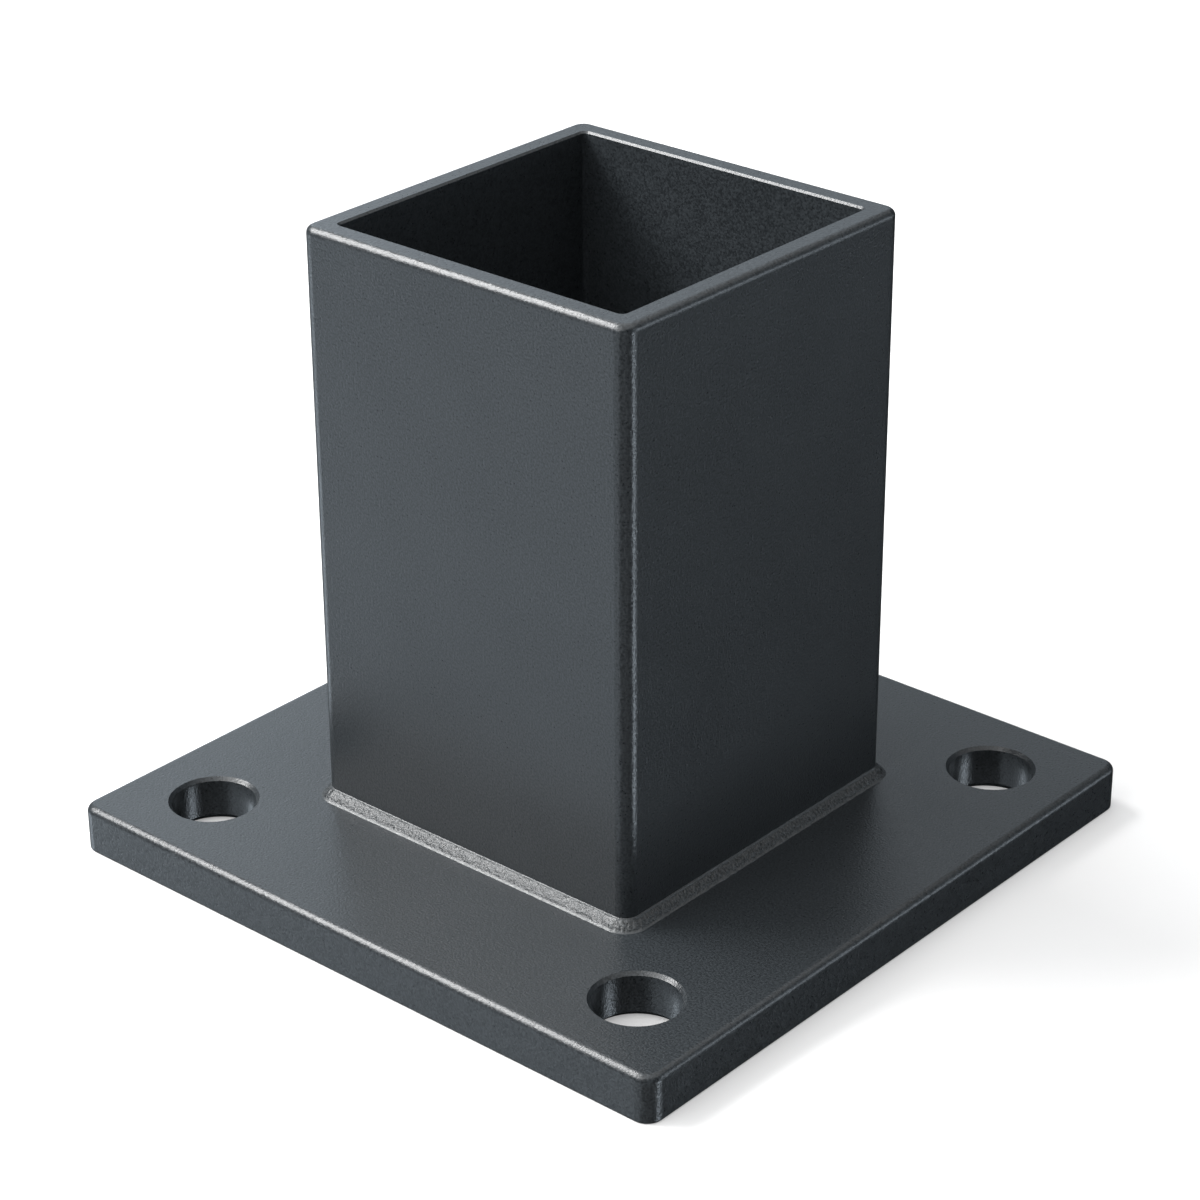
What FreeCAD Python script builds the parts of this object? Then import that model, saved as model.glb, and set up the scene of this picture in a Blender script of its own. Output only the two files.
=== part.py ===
import FreeCAD, Part
import math
import os
import Sketcher

# Base plate for a square fence post.
# A thick square plate lies on the concrete and takes four anchor bolts near its
# corners. A short square sleeve, open at the top, stands upright at the centre
# of the plate, and one fillet weld runs all round its foot.
# Millimetres, +Z up, origin at the centre of the plate's underside.

# The driving dimensions: name, value, what it is.
SIZES = (
    ("plate_width", 150, "plate from side to side, along X"),
    ("plate_depth", 150, "plate from front to back, along Y"),
    ("plate_thickness", 10, "plate from underside to top"),
    ("plate_corner_radius", 3.5, "upright corners of the plate"),
    ("plate_top_rounding", 1.5, "edge round the plate's top"),
    ("plate_foot_rounding", 0.5, "edge round the plate's underside"),
    ("bolt_spacing_x", 112, "hole to hole, along X"),
    ("bolt_spacing_y", 112, "hole to hole, along Y"),
    ("bolt_hole_diameter", 17, "bore for an anchor bolt"),
    ("bolt_hole_chamfer", 0.7, "broken edge at the bore's mouth"),
    ("bolt_hole_relief", 1.5, "deeper chamfer where the bore meets the underside"),
    ("sleeve_width", 80, "sleeve outside, along X"),
    ("sleeve_depth", 80, "sleeve outside, along Y"),
    ("sleeve_height", 122, "sleeve from the plate's top to its rim"),
    ("sleeve_wall", 5, "thickness of the sleeve's wall"),
    ("sleeve_corner_radius", 3, "upright corners outside"),
    ("socket_corner_radius", 1, "upright corners inside"),
    ("rim_rounding", 1.5, "outer edge of the rim"),
    ("rim_chamfer", 0.4, "inner edge of the rim"),
    ("weld_leg_up", 2.2, "weld's leg up the sleeve"),
    ("weld_leg_out", 2.2, "weld's leg out over the plate"),
    ("weld_crown", 0.25, "bulge of the weld's face over its chord"),
)

# What each sketch is held by, in terms of the driving dimensions.
SOCKET_WIDTH = "Sizes.sleeve_width - 2 * Sizes.sleeve_wall"
SOCKET_DEPTH = "Sizes.sleeve_depth - 2 * Sizes.sleeve_wall"
WELD_CHORD_SQUARED = "(Sizes.weld_leg_up ^ 2 + Sizes.weld_leg_out ^ 2)"
WELD_FACE_RADIUS = WELD_CHORD_SQUARED + " / (8 * Sizes.weld_crown) + Sizes.weld_crown / 2"
BOLT_HOLE_MOUTH = "Sizes.bolt_hole_diameter + 2 * Sizes.bolt_hole_chamfer"
CHAMFER_ANGLE = 90  # full angle of the cone at a bore's mouth, degrees
NEAR = 1e-4  # two heights this close are the same, mm


def make_sizes(doc):
    """Puts the driving dimensions into the document's spreadsheet."""
    sheet = doc.addObject("Spreadsheet::Sheet", "Sizes")
    for row, (name, value, meaning) in enumerate(SIZES, start=1):
        sheet.set(f"A{row}", name)
        sheet.set(f"B{row}", str(value))
        sheet.set(f"C{row}", meaning)
        sheet.setAlias(f"B{row}", name)
    doc.recompute()
    return sheet


def new_sketch(body, name, role):
    """An empty sketch on one of the body's own origin planes."""
    sketch = body.newObject("Sketcher::SketchObject", name)
    plane = next(f for f in body.Origin.OriginFeatures if f.Role == role)
    sketch.AttachmentSupport = (plane, [""])
    sketch.MapMode = "FlatFace"
    return sketch


def dimension(sketch, name, kind, *where, size):
    """Adds a named dimension to a sketch and binds it to an expression."""
    value = float(sketch.evalExpression(size))
    index = sketch.addConstraint(Sketcher.Constraint(kind, *where, value))
    sketch.renameConstraint(index, name)
    sketch.setExpression(f".Constraints.{name}", size)


def rounded_rectangle(sketch, name, width, depth, radius):
    """Draws a centred rectangle with four equal round corners."""
    corner = float(sketch.evalExpression(radius))
    centre_x = float(sketch.evalExpression(width)) / 2 - corner
    centre_y = float(sketch.evalExpression(depth)) / 2 - corner
    first = sketch.GeometryCount
    turns = [(1, 1), (-1, 1), (-1, -1), (1, -1)]
    for quarter, (side_x, side_y) in enumerate(turns):
        middle = FreeCAD.Vector(side_x * centre_x, side_y * centre_y, 0)
        circle = Part.Circle(middle, FreeCAD.Vector(0, 0, 1), corner)
        start = quarter * math.pi / 2
        sketch.addGeometry(Part.ArcOfCircle(circle, start, start + math.pi / 2))
    arcs = [first + k for k in range(4)]
    sides = [first + 4 + k for k in range(4)]
    for k in range(4):
        begin = sketch.getPoint(arcs[k], 2)
        end = sketch.getPoint(arcs[(k + 1) % 4], 1)
        sketch.addGeometry(Part.LineSegment(begin, end))
    for k in range(4):
        sketch.addConstraint(Sketcher.Constraint("Tangent", arcs[k], 2, sides[k], 1))
        sketch.addConstraint(Sketcher.Constraint("Tangent", sides[k], 2, arcs[(k + 1) % 4], 1))
        level = "Horizontal" if k % 2 == 0 else "Vertical"
        sketch.addConstraint(Sketcher.Constraint(level, sides[k]))
    for arc in arcs[1:]:
        sketch.addConstraint(Sketcher.Constraint("Equal", arcs[0], arc))
    sketch.addConstraint(Sketcher.Constraint("Symmetric", arcs[0], 3, arcs[2], 3, -1, 1))
    dimension(sketch, name + "_width", "DistanceX", sides[1], 1, sides[3], 1, size=width)
    dimension(sketch, name + "_depth", "DistanceY", sides[2], 1, sides[0], 1, size=depth)
    dimension(sketch, name + "_corner", "Radius", arcs[0], size=radius)


def bolt_hole_centres(sketch):
    """Draws one circle for each bolt hole, at the corners of a centred rectangle."""
    half_x = float(sketch.evalExpression("Sizes.bolt_spacing_x")) / 2
    half_y = float(sketch.evalExpression("Sizes.bolt_spacing_y")) / 2
    radius = float(sketch.evalExpression("Sizes.bolt_hole_diameter")) / 2
    for side_x, side_y in ((1, 1), (-1, 1), (-1, -1), (1, -1)):
        middle = FreeCAD.Vector(side_x * half_x, side_y * half_y, 0)
        sketch.addGeometry(Part.Circle(middle, FreeCAD.Vector(0, 0, 1), radius))
    for circle in (1, 2, 3):
        sketch.addConstraint(Sketcher.Constraint("Equal", 0, circle))
    sketch.addConstraint(Sketcher.Constraint("Symmetric", 0, 3, 2, 3, -1, 1))
    sketch.addConstraint(Sketcher.Constraint("Symmetric", 0, 3, 1, 3, -2))
    sketch.addConstraint(Sketcher.Constraint("Symmetric", 0, 3, 3, 3, -1))
    dimension(sketch, "across", "DistanceX", 1, 3, 0, 3, size="Sizes.bolt_spacing_x")
    dimension(sketch, "along", "DistanceY", 3, 3, 0, 3, size="Sizes.bolt_spacing_y")
    dimension(sketch, "bore", "Diameter", 0, size="Sizes.bolt_hole_diameter")


def weld_section(sketch):
    """Draws the weld's section: a right angle closed by a slightly bulging face."""
    root_x = float(sketch.evalExpression("Sizes.sleeve_width / 2"))
    leg_out = float(sketch.evalExpression("Sizes.weld_leg_out"))
    leg_up = float(sketch.evalExpression("Sizes.weld_leg_up"))
    crown = float(sketch.evalExpression("Sizes.weld_crown"))
    chord = math.hypot(leg_out, leg_up)
    root = FreeCAD.Vector(root_x, 0, 0)
    toe = root + FreeCAD.Vector(leg_out, 0, 0)
    top = root + FreeCAD.Vector(0, leg_up, 0)
    outwards = FreeCAD.Vector(leg_up, leg_out, 0) * (crown / chord)
    foot = sketch.addGeometry(Part.LineSegment(root, toe))
    wall = sketch.addGeometry(Part.LineSegment(root, top))
    face = sketch.addGeometry(Part.ArcOfCircle(toe, (toe + top) / 2 + outwards, top))
    sketch.addConstraint(Sketcher.Constraint("Coincident", foot, 1, wall, 1))
    sketch.addConstraint(Sketcher.Constraint("Coincident", foot, 2, face, 1))
    sketch.addConstraint(Sketcher.Constraint("Coincident", wall, 2, face, 2))
    sketch.addConstraint(Sketcher.Constraint("Horizontal", foot))
    sketch.addConstraint(Sketcher.Constraint("Vertical", wall))
    sketch.addConstraint(Sketcher.Constraint("PointOnObject", foot, 1, -1))
    dimension(sketch, "root", "DistanceX", -1, 1, foot, 1, size="Sizes.sleeve_width / 2")
    dimension(sketch, "out", "DistanceX", foot, 1, foot, 2, size="Sizes.weld_leg_out")
    dimension(sketch, "up", "DistanceY", wall, 1, wall, 2, size="Sizes.weld_leg_up")
    dimension(sketch, "face", "Radius", face, size=WELD_FACE_RADIUS)


def edges_at(shape, height, reach_x, reach_y):
    """Names of the edges that lie at one height within a centred rectangle."""
    names = []
    for number, edge in enumerate(shape.Edges, start=1):
        box = edge.BoundBox
        level = abs(box.ZMin - height) < NEAR and abs(box.ZMax - height) < NEAR
        inside = box.XMax < reach_x / 2 + NEAR and box.YMax < reach_y / 2 + NEAR
        inside = inside and box.XMin > -reach_x / 2 - NEAR and box.YMin > -reach_y / 2 - NEAR
        if level and inside:
            names.append(f"Edge{number}")
    return names


def make_base_plate(doc, sheet):
    """The square plate, with its edges rounded and four bolt holes drilled through."""
    body = doc.addObject("PartDesign::Body", "BasePlate")
    body.Label = "base_plate"

    outline = new_sketch(body, "PlateOutline", "XY_Plane")
    corner = "Sizes.plate_corner_radius"
    rounded_rectangle(outline, "plate", "Sizes.plate_width", "Sizes.plate_depth", corner)
    slab = body.newObject("PartDesign::Pad", "PlateSlab")
    slab.Profile = outline
    slab.setExpression("Length", "Sizes.plate_thickness")
    doc.recompute()

    reach = (sheet.plate_width, sheet.plate_depth)
    top = body.newObject("PartDesign::Fillet", "PlateTopRounding")
    top.Base = (slab, edges_at(slab.Shape, sheet.plate_thickness, *reach))
    top.setExpression("Radius", "Sizes.plate_top_rounding")
    doc.recompute()

    foot = body.newObject("PartDesign::Fillet", "PlateFootRounding")
    foot.Base = (top, edges_at(top.Shape, 0, *reach))
    foot.setExpression("Radius", "Sizes.plate_foot_rounding")
    doc.recompute()

    centres = new_sketch(body, "BoltHoleCentres", "XY_Plane")
    centres.setExpression(".AttachmentOffset.Base.z", "Sizes.plate_thickness")
    bolt_hole_centres(centres)
    doc.recompute()

    holes = body.newObject("PartDesign::Hole", "BoltHoles")
    holes.Profile = centres
    doc.recompute()
    holes.ThreadType = "None"
    holes.Threaded = False
    holes.DepthType = "ThroughAll"
    holes.setExpression("Diameter", "Sizes.bolt_hole_diameter")
    holes.HoleCutType = "Countersink"
    holes.HoleCutCustomValues = True
    holes.setExpression("HoleCutDiameter", BOLT_HOLE_MOUTH)
    holes.HoleCutCountersinkAngle = CHAMFER_ANGLE
    doc.recompute()
    bore = math.pi * sheet.bolt_hole_diameter ** 2 / 4 * sheet.plate_thickness
    check_cut(foot, holes, centres.GeometryCount * bore)

    diameter = sheet.bolt_hole_diameter
    around_holes = (sheet.bolt_spacing_x + diameter, sheet.bolt_spacing_y + diameter)
    relief = body.newObject("PartDesign::Chamfer", "BoltHoleRelief")
    relief.Base = (holes, edges_at(holes.Shape, 0, *around_holes))
    relief.setExpression("Size", "Sizes.bolt_hole_relief")
    body.Tip = relief
    doc.recompute()
    ring = math.pi * diameter * sheet.bolt_hole_relief ** 2 / 2
    check_cut(holes, relief, centres.GeometryCount * ring)
    return body


def make_post_sleeve(doc, sheet):
    """The square hollow section that takes the post, cut square and eased at its rim."""
    body = doc.addObject("PartDesign::Body", "PostSleeve")
    body.Label = "post_sleeve"
    body.setExpression(".Placement.Base.z", "Sizes.plate_thickness")

    section = new_sketch(body, "SleeveSection", "XY_Plane")
    corner = "Sizes.sleeve_corner_radius"
    rounded_rectangle(section, "outside", "Sizes.sleeve_width", "Sizes.sleeve_depth", corner)
    rounded_rectangle(section, "socket", SOCKET_WIDTH, SOCKET_DEPTH, "Sizes.socket_corner_radius")
    tube = body.newObject("PartDesign::Pad", "SleeveTube")
    tube.Profile = section
    tube.setExpression("Length", "Sizes.sleeve_height")
    doc.recompute()

    height = sheet.sleeve_height
    socket = (sheet.sleeve_width - 2 * sheet.sleeve_wall, sheet.sleeve_depth - 2 * sheet.sleeve_wall)
    mouth = body.newObject("PartDesign::Chamfer", "RimInnerChamfer")
    mouth.Base = (tube, edges_at(tube.Shape, height, *socket))
    mouth.setExpression("Size", "Sizes.rim_chamfer")
    doc.recompute()

    everything = edges_at(mouth.Shape, height, sheet.sleeve_width, sheet.sleeve_depth)
    widened = (socket[0] + 2 * sheet.rim_chamfer, socket[1] + 2 * sheet.rim_chamfer)
    inner = edges_at(mouth.Shape, height, *widened)
    rim = body.newObject("PartDesign::Fillet", "RimRounding")
    rim.Base = (mouth, [name for name in everything if name not in inner])
    rim.setExpression("Radius", "Sizes.rim_rounding")
    body.Tip = rim
    doc.recompute()
    return body


def make_fillet_weld(doc):
    """The weld bead, one section carried all round the sleeve's foot."""
    body = doc.addObject("PartDesign::Body", "FilletWeld")
    body.Label = "fillet_weld"
    body.setExpression(".Placement.Base.z", "Sizes.plate_thickness")

    path = new_sketch(body, "WeldPath", "XY_Plane")
    corner = "Sizes.sleeve_corner_radius"
    rounded_rectangle(path, "path", "Sizes.sleeve_width", "Sizes.sleeve_depth", corner)
    section = new_sketch(body, "WeldSection", "XZ_Plane")
    weld_section(section)
    doc.recompute()

    bead = body.newObject("PartDesign::AdditivePipe", "WeldBead")
    bead.Profile = section
    bead.Spine = path
    body.Tip = bead
    doc.recompute()
    return body


def check_cut(before, after, least):
    """Stops the script if a cut took away less than it should."""
    taken = before.Shape.Volume - after.Shape.Volume
    if taken < least:
        raise RuntimeError(f"{after.Label} took away only {taken:.1f} cubic millimetres")


def check_document(doc, bodies):
    """Stops the script if a feature failed, a sketch is loose or a piece isn't one valid solid."""
    for item in doc.Objects:
        if "Invalid" in item.State or "Error" in item.State:
            raise RuntimeError(f"{item.Label} failed: {item.State}")
        if item.TypeId == "Sketcher::SketchObject" and not item.FullyConstrained:
            raise RuntimeError(f"{item.Label} isn't fully constrained")
    for body in bodies:
        shape = body.Shape
        if shape.isNull() or not shape.isValid() or len(shape.Solids) != 1:
            raise RuntimeError(f"{body.Label} isn't one valid solid")


def main():
    doc = FreeCAD.newDocument("FencePostBasePlate")
    sheet = make_sizes(doc)
    bodies = [make_base_plate(doc, sheet), make_post_sleeve(doc, sheet), make_fillet_weld(doc)]
    doc.recompute()
    check_document(doc, bodies)
    os.makedirs("parts", exist_ok=True)
    for body in bodies:
        body.Shape.exportStep(f"parts/{body.Label}.step")
        print(f"{body.Label}: {body.Shape.Volume / 1000:.2f} cm3")


main()
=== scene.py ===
import math

import bmesh
import bpy
from mathutils import Matrix, Vector, noise


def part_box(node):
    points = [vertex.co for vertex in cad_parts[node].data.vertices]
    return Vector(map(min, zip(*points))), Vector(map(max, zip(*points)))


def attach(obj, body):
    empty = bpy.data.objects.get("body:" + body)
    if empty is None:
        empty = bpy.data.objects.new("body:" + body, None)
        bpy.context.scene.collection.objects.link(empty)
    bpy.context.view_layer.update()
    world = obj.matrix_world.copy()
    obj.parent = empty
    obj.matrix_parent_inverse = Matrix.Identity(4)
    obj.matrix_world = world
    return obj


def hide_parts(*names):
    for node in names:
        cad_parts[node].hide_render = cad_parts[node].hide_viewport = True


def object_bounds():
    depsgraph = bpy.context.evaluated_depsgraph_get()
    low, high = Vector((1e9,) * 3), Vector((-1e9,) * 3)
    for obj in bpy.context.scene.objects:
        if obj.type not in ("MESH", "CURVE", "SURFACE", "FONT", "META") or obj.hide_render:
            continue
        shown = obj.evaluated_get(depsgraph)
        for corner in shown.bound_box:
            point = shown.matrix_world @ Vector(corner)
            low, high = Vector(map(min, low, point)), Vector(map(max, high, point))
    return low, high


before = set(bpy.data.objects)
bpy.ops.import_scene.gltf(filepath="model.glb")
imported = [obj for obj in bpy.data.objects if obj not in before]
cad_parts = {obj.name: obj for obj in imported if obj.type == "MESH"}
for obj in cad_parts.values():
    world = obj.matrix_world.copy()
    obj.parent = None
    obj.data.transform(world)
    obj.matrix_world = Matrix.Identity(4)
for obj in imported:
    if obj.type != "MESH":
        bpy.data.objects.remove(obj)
cad_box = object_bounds()
MM = 0.001

# Base plate
# The square of thick steel plate that is bolted down on the concrete. It is cut from
# plate, its corners and edges are eased and its four holes drilled and chamfered, and
# after welding it is coated with a dark satin powder that bakes to a fine grain.
COAT_DARK = (0.0150, 0.0176, 0.0198, 1.0)
COAT_LIGHT = (0.0310, 0.0362, 0.0404, 1.0)
COAT_ROUGHNESS = (0.27, 0.36)
COAT_IOR = 1.5
GRAIN_SCALE = 2300  # grain of about half a millimetre, in cells a metre
GRAIN_DEPTH = 0.06 * MM
PEEL_SCALE = 900  # orange peel of about a millimetre
PEEL_DEPTH = 0.03 * MM
MOTTLE_SCALE = 55  # cloudy patches of about 2 cm
MOTTLE_SHARE = 0.12  # how far the patches shift the grain's tone
BLEND_FROM, BLEND_TO = 0.35, 0.65  # the part of a pattern that turns dark into light
SPREAD_FROM, SPREAD_TO = 0.25, 0.75  # the part of a pattern that is stretched out


def node(tree, kind, **settings):
    """A shader node with its settings, given by name."""
    made = tree.nodes.new(kind)
    for name, value in settings.items():
        setattr(made, name, value)
    return made


def noise_at(tree, place, scale, detail, roughness=0.5):
    """A noise pattern on the object's own coordinates; scale is in cells a metre."""
    made = node(tree, "ShaderNodeTexNoise")
    made.inputs["Scale"].default_value = scale
    made.inputs["Detail"].default_value = detail
    made.inputs["Roughness"].default_value = roughness
    tree.links.new(place, made.inputs["Vector"])
    return made.outputs["Fac"]


def add_share(tree, pattern, share, to):
    """Adds a share of one pattern, counted from its middle, to another."""
    lifted = node(tree, "ShaderNodeMath", operation="ADD")
    tree.links.new(to, lifted.inputs[0])
    lifted.inputs[1].default_value = -share / 2
    mixed = node(tree, "ShaderNodeMath", operation="MULTIPLY_ADD")
    tree.links.new(pattern, mixed.inputs[0])
    mixed.inputs[1].default_value = share
    tree.links.new(lifted.outputs[0], mixed.inputs[2])
    return mixed.outputs[0]


def blend_colours(tree, factor, low, high):
    """A colour that runs from low to high as the pattern rises through its middle."""
    ramp = node(tree, "ShaderNodeValToRGB")
    first, last = ramp.color_ramp.elements
    first.position = BLEND_FROM
    first.color = low
    last.position = BLEND_TO
    last.color = high
    tree.links.new(factor, ramp.inputs["Fac"])
    return ramp.outputs["Color"]


def raised(tree, height, depth, under=None):
    """A bump of the given depth in metres, laid over another bump's normal."""
    bump = node(tree, "ShaderNodeBump")
    bump.inputs["Distance"].default_value = depth
    tree.links.new(height, bump.inputs["Height"])
    if under is not None:
        tree.links.new(under, bump.inputs["Normal"])
    return bump.outputs["Normal"]


def spread(tree, factor, low, high):
    """Stretches the middle half of a pattern to low..high."""
    stretch = node(tree, "ShaderNodeMapRange")
    stretch.inputs["From Min"].default_value = SPREAD_FROM
    stretch.inputs["From Max"].default_value = SPREAD_TO
    stretch.inputs["To Min"].default_value = low
    stretch.inputs["To Max"].default_value = high
    tree.links.new(factor, stretch.inputs["Value"])
    return stretch.outputs["Result"]


def powder_coat():
    """Satin powder coat: faint mottling, fine grain and a low orange peel."""
    material = bpy.data.materials.new("powder_coat")
    material.use_nodes = True
    tree = material.node_tree
    shader = tree.nodes["Principled BSDF"]
    place = node(tree, "ShaderNodeTexCoord").outputs["Object"]
    grain = noise_at(tree, place, GRAIN_SCALE, detail=1)
    peel = noise_at(tree, place, PEEL_SCALE, detail=1)
    mottle = noise_at(tree, place, MOTTLE_SCALE, detail=3)
    speckle = add_share(tree, mottle, MOTTLE_SHARE, grain)
    colour = blend_colours(tree, speckle, COAT_DARK, COAT_LIGHT)
    tree.links.new(colour, shader.inputs["Base Color"])
    tree.links.new(spread(tree, speckle, *COAT_ROUGHNESS), shader.inputs["Roughness"])
    normal = raised(tree, grain, GRAIN_DEPTH, raised(tree, peel, PEEL_DEPTH))
    tree.links.new(normal, shader.inputs["Normal"])
    shader.inputs["IOR"].default_value = COAT_IOR
    return material


def dress(name, material):
    """Gives a CAD node its material."""
    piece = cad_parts[name]
    piece.data.materials.clear()
    piece.data.materials.append(material)


coat = powder_coat()
dress("base_plate", coat)

# Post sleeve
# A short length of square hollow section, cut square, with its rim eased. It stands
# upright on the plate, open at the top, and wears the same coat as the plate.
dress("post_sleeve", coat)

# Fillet weld
# The bead that joins the sleeve to the plate, laid by hand all round the sleeve's
# foot and coated with the rest. Its face is nearly flat and rough with spatter, and
# its two toes run out smoothly, wandering a little on the plate and the sleeve.
weld_low, weld_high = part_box("fillet_weld")
sleeve_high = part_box("post_sleeve")[1]
SLEEVE_HALF = sleeve_high.x
SLEEVE_CORNER = 3 * MM
SLEEVE_STRAIGHT = SLEEVE_HALF - SLEEVE_CORNER
WELD_FOOT = weld_low.z
WELD_LEG = weld_high.z - weld_low.z
WELD_CROWN = 0.13 * MM
WELD_ROOT = 0.15 * MM  # how far the bead reaches into the plate and the sleeve
WELD_PITCH = 0.24 * MM  # spacing of the mesh's points along the bead
WELD_POINTS = 20  # points across the bead's face
MERGE_DISTANCE = 0.01 * MM
TOE_FLARE = 0.22 * MM
TOE_SHARE = 0.16  # part of the face that each toe takes

RIPPLE_PITCH = 1.1 * MM
RIPPLE_HEIGHT = 0.018 * MM
RIPPLE_BOW = 2.2  # how far the ripples lag towards the toes
CORNER_RIPPLE = 2.5  # the ripples stand this much higher round the corners
SWAY_SIZE = 4 * MM
SWAY_TURN = 3  # how far the ripples stray from an even pitch, in radians
ALONG_STRETCH = 1.2  # brings the angle round the sleeve near the true way round it
LUMP_SIZE = 2.0 * MM
LUMP_HEIGHT = 0.055 * MM
SKIN_SIZE = 0.6 * MM
SKIN_HEIGHT = 0.030 * MM
SKIN_FRACTAL = (0.8, 2.0, 2)  # falling off, gap and number of its octaves
STOP_PLACE = -19.3 * MM  # where the bead was stopped and taken up again in front
STOP_WIDTH = 0.16 * MM
STOP_DEPTH = 0.10 * MM
STOP_LEAN = 1.4  # how far the mark leans across the face, in millimetres

BODY_GAIN = 3.2  # these three let the roughness die out towards the toes
BODY_SPAN = 0.36
BODY_EASE = 1.5
TOE_SPAN = 0.14  # how near its toes the face is counted as toe
TOE_WANDER = 0.11 * MM
FOOT_WAVE = 1.3 * MM
FOOT_DRAW = 0.4 * TOE_WANDER
TOP_WAVE = 1.9 * MM
TOP_WANDER = 0.7 * TOE_WANDER
TOP_DRAW = 0.3 * TOE_WANDER
FOOT_SEED = Vector((7, 0, 0))
TOP_SEED = Vector((0, 11, 0))

WELD_DARK = (0.012, 0.014, 0.015, 1.0)
WELD_LIGHT = (0.060, 0.066, 0.070, 1.0)
WELD_ROUGHNESS = (0.24, 0.46)
SPECKLE_SCALE = 1900
SPECKLE_DEPTH = 0.20 * MM
TOE_HIGHLIGHT_TONE = 0.62  # how light the smoothed toes are painted, on the speckle's own scale: a painted highlight along the toes


def weld_profile():
    """Points of the bead's section as (out from the sleeve, up from the plate)."""
    leg = WELD_LEG - TOE_FLARE
    points = [(-WELD_ROOT, -WELD_ROOT), (WELD_LEG, -WELD_ROOT)]
    for k in range(WELD_POINTS):
        share = k / (WELD_POINTS - 1)
        bulge = WELD_CROWN * 4 * share * (1 - share) / math.sqrt(2)
        at_foot = TOE_FLARE * max(0, 1 - share / TOE_SHARE) ** 2
        at_top = TOE_FLARE * max(0, 1 - (1 - share) / TOE_SHARE) ** 2
        points.append((leg * (1 - share) + bulge + at_foot, leg * share + bulge + at_top))
    points.append((-WELD_ROOT, WELD_LEG))
    return points


def weld_ring():
    """Carries the section round each corner, then divides the long straight runs."""
    ring = bmesh.new()
    corners = [
        ring.verts.new((SLEEVE_HALF + out, -SLEEVE_STRAIGHT, WELD_FOOT + up))
        for out, up in weld_profile()
    ]
    section = [ring.edges.new((a, b)) for a, b in zip(corners, corners[1:] + corners[:1])]
    end = corners + section
    corner_steps = round(math.pi / 2 * (SLEEVE_CORNER + WELD_LEG / 2) / WELD_PITCH)
    for quarter in range(4):
        turn = Matrix.Rotation(quarter * math.pi / 2, 3, "Z")
        step = turn @ Vector((0, 2 * SLEEVE_STRAIGHT, 0))
        run = bmesh.ops.spin(ring, geom=end, dvec=step, axis=(0, 0, 1), angle=0, steps=1)
        centre = turn @ Vector((SLEEVE_STRAIGHT, SLEEVE_STRAIGHT, 0))
        bend = bmesh.ops.spin(
            ring, geom=run["geom_last"], cent=centre, axis=(0, 0, 1),
            angle=math.pi / 2, steps=corner_steps,
        )
        end = bend["geom_last"]
    bmesh.ops.remove_doubles(ring, verts=ring.verts, dist=MERGE_DISTANCE)
    long_edges = [edge for edge in ring.edges if edge.calc_length() > SLEEVE_STRAIGHT]
    cuts = round(2 * SLEEVE_STRAIGHT / WELD_PITCH)
    bmesh.ops.subdivide_edges(ring, edges=long_edges, cuts=cuts, use_grid_fill=True)
    bmesh.ops.recalc_face_normals(ring, faces=ring.faces)
    return ring


def roughen(vertex, toe_highlight_layer):
    """Moves a point of the bead's face as its ripples, lumps and wandering toes do."""
    x, y, z = vertex.co
    near_x = max(-SLEEVE_STRAIGHT, min(SLEEVE_STRAIGHT, x))
    near_y = max(-SLEEVE_STRAIGHT, min(SLEEVE_STRAIGHT, y))
    outwards = Vector((x - near_x, y - near_y, 0))
    out = outwards.length - SLEEVE_CORNER
    up = z - WELD_FOOT
    if out < 0 or up < 0:
        return
    outwards.normalize()
    on_corner = abs(outwards.x) > 0.01 and abs(outwards.y) > 0.01
    on_front = outwards.y < -0.99
    share = math.atan2(up, out) / (math.pi / 2)
    body = min(1, BODY_GAIN * share * (1 - share) / BODY_SPAN) ** BODY_EASE
    # Marks the toes, where the coat's grain is smoothed and its colour lightened into a
    # painted highlight along them.
    vertex[toe_highlight_layer] = 1 - min(1, share * (1 - share) / TOE_SPAN)

    along = math.atan2(y, x) * ALONG_STRETCH * SLEEVE_HALF
    bow = (share - 0.5) ** 2 * RIPPLE_BOW
    sway = SWAY_TURN * noise.noise(vertex.co / SWAY_SIZE)
    ripple = math.sin(2 * math.pi * (along / RIPPLE_PITCH + bow) + sway)
    if on_corner:
        ripple *= CORNER_RIPPLE
    rise = RIPPLE_HEIGHT * ripple
    rise += LUMP_HEIGHT * noise.noise(vertex.co / LUMP_SIZE)
    rise += SKIN_HEIGHT * noise.fractal(vertex.co / SKIN_SIZE, *SKIN_FRACTAL)
    if on_front:
        across = x - STOP_PLACE - (share - 0.5) * STOP_LEAN * MM
        rise -= STOP_DEPTH * math.exp(-((across / STOP_WIDTH) ** 2))

    slope = share * math.pi / 2
    face = outwards * math.cos(slope) + Vector((0, 0, math.sin(slope)))
    foot_wander = noise.noise(vertex.co / FOOT_WAVE + FOOT_SEED)
    top_wander = noise.noise(vertex.co / TOP_WAVE + TOP_SEED)
    vertex.co += face * rise * body
    vertex.co += outwards * (TOE_WANDER * foot_wander - FOOT_DRAW) * (1 - share) ** 2
    vertex.co.z += (TOP_WANDER * top_wander - TOP_DRAW) * share ** 2


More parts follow.
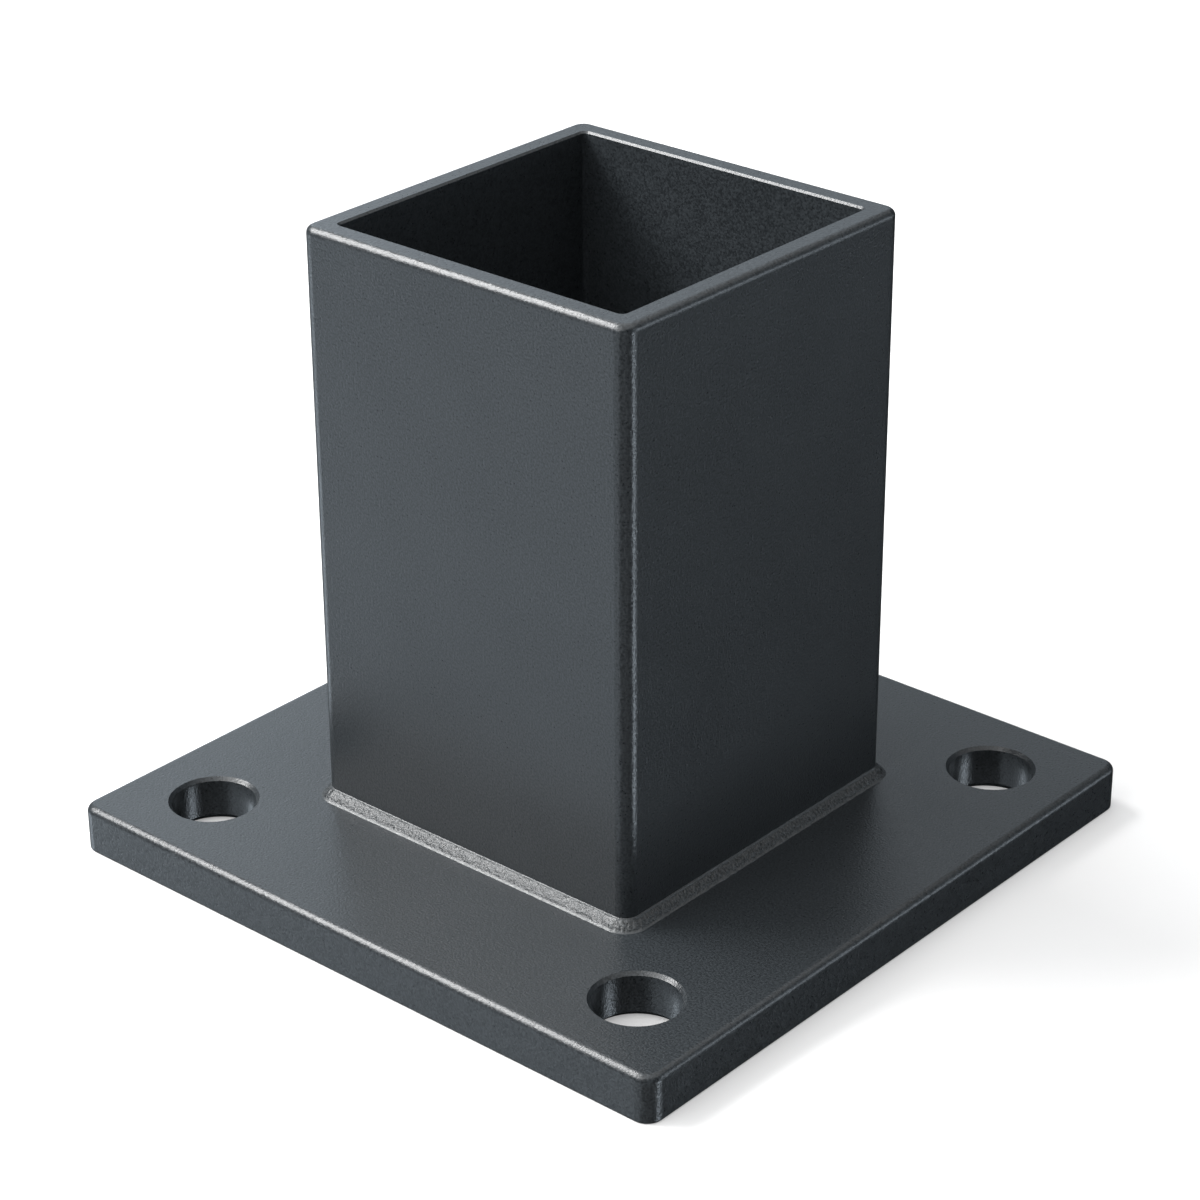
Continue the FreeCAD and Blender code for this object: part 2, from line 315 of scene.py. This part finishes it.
def weld_coat():
    """The same powder over the bead's rough skin, thinner on its crests, with its toes
    smoothed and lightened into a painted highlight.
    """
    material = bpy.data.materials.new("weld_bead")
    material.use_nodes = True
    tree = material.node_tree
    shader = tree.nodes["Principled BSDF"]
    place = node(tree, "ShaderNodeTexCoord").outputs["Object"]
    speckle = noise_at(tree, place, SPECKLE_SCALE, detail=2, roughness=0.6)
    toe = node(tree, "ShaderNodeAttribute", attribute_name="toe").outputs["Fac"]
    # Painted highlight: the toes' speckle is drawn towards a light, even tone, which also
    # flattens their bump.
    toe_highlight_mix = node(tree, "ShaderNodeMix", data_type="FLOAT")
    tree.links.new(toe, toe_highlight_mix.inputs["Factor"])
    tree.links.new(speckle, toe_highlight_mix.inputs["A"])
    toe_highlight_mix.inputs["B"].default_value = TOE_HIGHLIGHT_TONE
    skin = toe_highlight_mix.outputs["Result"]
    colour = blend_colours(tree, skin, WELD_DARK, WELD_LIGHT)
    tree.links.new(colour, shader.inputs["Base Color"])
    tree.links.new(spread(tree, speckle, *WELD_ROUGHNESS), shader.inputs["Roughness"])
    tree.links.new(raised(tree, skin, SPECKLE_DEPTH), shader.inputs["Normal"])
    shader.inputs["IOR"].default_value = COAT_IOR
    return material


ring = weld_ring()
# This layer marks the toes for the painted highlight along them.
toe_highlight_layer = ring.verts.layers.float.new("toe")
for vertex in ring.verts:
    roughen(vertex, toe_highlight_layer)
mesh = bpy.data.meshes.new("weld_bead")
ring.to_mesh(mesh)
ring.free()
mesh.shade_smooth()
mesh.materials.append(weld_coat())
bead = bpy.data.objects.new("weld_bead", mesh)
bpy.context.scene.collection.objects.link(bead)
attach(bead, "root")
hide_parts("fillet_weld")

# Studio
# A round pale floor under the plate, lit a little by itself like a light table, and
# softboxes up on the left, on the front and overhead. The room round them is dark but
# for a few glows that the coat picks up. Neither they nor the softboxes are seen.
WHITE = (1.0, 1.0, 1.0, 1.0)
BLACK = (0.0, 0.0, 0.0, 1.0)
FLOOR_RADIUS = 0.70
FLOOR_SIDES = 96
FLOOR_COLOUR = (0.60, 0.60, 0.60, 1.0)
FLOOR_GLOW = 0.32
PANEL_DISTANCE = 1.2
SOFTBOXES = (
    # name, direction, direction of its length, length and width, radiance
    ("softbox_strip", (-0.59, -0.32, 0.74), (0, -0.83, -0.55), (1.05, 0.35), 23.0),
    ("softbox_front", (-0.22, -0.70, 0.68), (1, 0, 0), (1.00, 0.80), 4.4),
    ("softbox_top", (0, 0, 1), (1, 0, 0), (2.40, 2.40), 1.2),
)
GLOW_TINT = (0.88, 1.0, 1.11, 1.0)
GLOWS = (
    # direction, how tightly it is held, radiance
    ((-0.586, -0.674, -0.451), 24, 1.14),
    ((-0.740, 0.560, 0.370), 110, 3.60),
    ((-0.470, 0.800, 0.350), 60, 1.00),
    ((0.835, 0.310, -0.451), 110, 11.5),
    ((-0.100, -0.890, -0.450), 100, 2.20),
    ((-0.840, -0.310, -0.448), 150, 6.00),
    ((0.739, 0.674, 0.150), 14, 0.45),
    ((0.735, 0.674, 0.000), 80, 5.00),
    ((-0.900, -0.100, -0.430), 20, 0.40),
    ((0.740, -0.650, -0.120), 60, 1.50),
    ((-0.730, 0.634, -0.220), 30, 1.20),
)


def stage_panel(name, width, depth, sides, colour, radiance):
    """A flat part of the studio that also shines; it isn't part of the object."""
    material = bpy.data.materials.new(name)
    material.use_nodes = True
    shader = material.node_tree.nodes["Principled BSDF"]
    shader.inputs["Base Color"].default_value = colour
    shader.inputs["Roughness"].default_value = 1.0
    shader.inputs["Specular IOR Level"].default_value = 0.0
    shader.inputs["Emission Color"].default_value = WHITE
    shader.inputs["Emission Strength"].default_value = radiance
    panel = bmesh.new()
    if sides == 4:
        bmesh.ops.create_grid(panel, x_segments=1, y_segments=1, size=0.5)
    else:
        bmesh.ops.create_circle(panel, cap_ends=True, segments=sides, radius=0.5)
    bmesh.ops.scale(panel, vec=(width, depth, 1), verts=panel.verts)
    mesh = bpy.data.meshes.new(name)
    panel.to_mesh(mesh)
    panel.free()
    mesh.materials.append(material)
    made = bpy.data.objects.new(name, mesh)
    bpy.context.scene.collection.objects.link(made)
    return made


floor = stage_panel(
    "floor", 2 * FLOOR_RADIUS, 2 * FLOOR_RADIUS, FLOOR_SIDES, FLOOR_COLOUR, FLOOR_GLOW
)
floor.location.z = cad_box[0].z
floor.visible_glossy = False

for name, direction, length_way, (length, width), radiance in SOFTBOXES:
    softbox = stage_panel(name, length, width, 4, BLACK, radiance)
    towards = Vector(direction).normalized()
    across = towards.cross(Vector(length_way)).normalized()
    facing = Matrix((across.cross(towards), across, -towards)).transposed().to_4x4()
    softbox.matrix_world = Matrix.Translation(towards * PANEL_DISTANCE) @ facing
    softbox.visible_camera = False


def glow(tree, towards, direction, tightness, radiance, total):
    """Adds one soft glow, brightest in its direction, to the sum of those before it."""
    dot = node(tree, "ShaderNodeVectorMath", operation="DOT_PRODUCT")
    dot.inputs[1].default_value = Vector(direction).normalized()
    tree.links.new(towards, dot.inputs[0])
    lit = node(tree, "ShaderNodeMath", operation="MAXIMUM")
    tree.links.new(dot.outputs["Value"], lit.inputs[0])
    lit.inputs[1].default_value = 0.0
    fall = node(tree, "ShaderNodeMath", operation="POWER")
    tree.links.new(lit.outputs[0], fall.inputs[0])
    fall.inputs[1].default_value = tightness
    add = node(tree, "ShaderNodeMath", operation="MULTIPLY_ADD")
    tree.links.new(fall.outputs[0], add.inputs[0])
    add.inputs[1].default_value = radiance
    add.inputs[2].default_value = 0.0
    if total is not None:
        tree.links.new(total, add.inputs[2])
    return add.outputs[0]


def studio_room():
    """The room round the object: dark, with soft glows; white where the camera looks."""
    world = bpy.data.worlds.new("studio")
    world.use_nodes = True
    tree = world.node_tree
    tree.nodes.clear()
    towards = node(tree, "ShaderNodeTexCoord").outputs["Generated"]
    total = None
    for direction, tightness, radiance in GLOWS:
        total = glow(tree, towards, direction, tightness, radiance, total)
    room = node(tree, "ShaderNodeBackground")
    room.inputs["Color"].default_value = GLOW_TINT
    tree.links.new(total, room.inputs["Strength"])
    backdrop = node(tree, "ShaderNodeBackground")
    backdrop.inputs["Strength"].default_value = 1.0
    backdrop.inputs["Color"].default_value = WHITE
    seen = node(tree, "ShaderNodeLightPath").outputs["Is Camera Ray"]
    mix = node(tree, "ShaderNodeMixShader")
    tree.links.new(seen, mix.inputs["Fac"])
    tree.links.new(room.outputs[0], mix.inputs[1])
    tree.links.new(backdrop.outputs[0], mix.inputs[2])
    output = node(tree, "ShaderNodeOutputWorld")
    tree.links.new(mix.outputs[0], output.inputs["Surface"])
    return world


bpy.context.scene.world = studio_room()
bpy.context.scene.view_settings.view_transform = "Standard"
bpy.context.scene.view_settings.look = "None"

# Camera
# Stands where the photograph was taken from: looking down on the plate's corner
# between its front and right sides, with a long lens.
CAMERA_AZIMUTH = math.radians(41.02)
CAMERA_ELEVATION = math.radians(26.62)
CAMERA_ROLL = math.radians(-0.33)
CAMERA_DISTANCE = 0.6598
CAMERA_LENS = 100.63
CAMERA_SENSOR = 36
AIM_HEIGHT = 60 * MM
AIM_RIGHT = -0.78 * MM
AIM_UP = -7.48 * MM

flat = math.cos(CAMERA_ELEVATION)
back = Vector((
    math.sin(CAMERA_AZIMUTH) * flat,
    -math.cos(CAMERA_AZIMUTH) * flat,
    math.sin(CAMERA_ELEVATION),
))
right = Vector((math.cos(CAMERA_AZIMUTH), math.sin(CAMERA_AZIMUTH), 0))
up = back.cross(right)
turn = Matrix.Rotation(CAMERA_ROLL, 3, back)
right, up = turn @ right, turn @ up
aim = Vector((0, 0, AIM_HEIGHT)) + AIM_RIGHT * right + AIM_UP * up
camera_data = bpy.data.cameras.new("camera")
camera_data.lens = CAMERA_LENS
camera_data.sensor_width = CAMERA_SENSOR
camera = bpy.data.objects.new("camera", camera_data)
camera.matrix_world = Matrix.Translation(aim + CAMERA_DISTANCE * back) @ Matrix(
    (right, up, back)
).transposed().to_4x4()
bpy.context.scene.collection.objects.link(camera)
bpy.context.scene.camera = camera
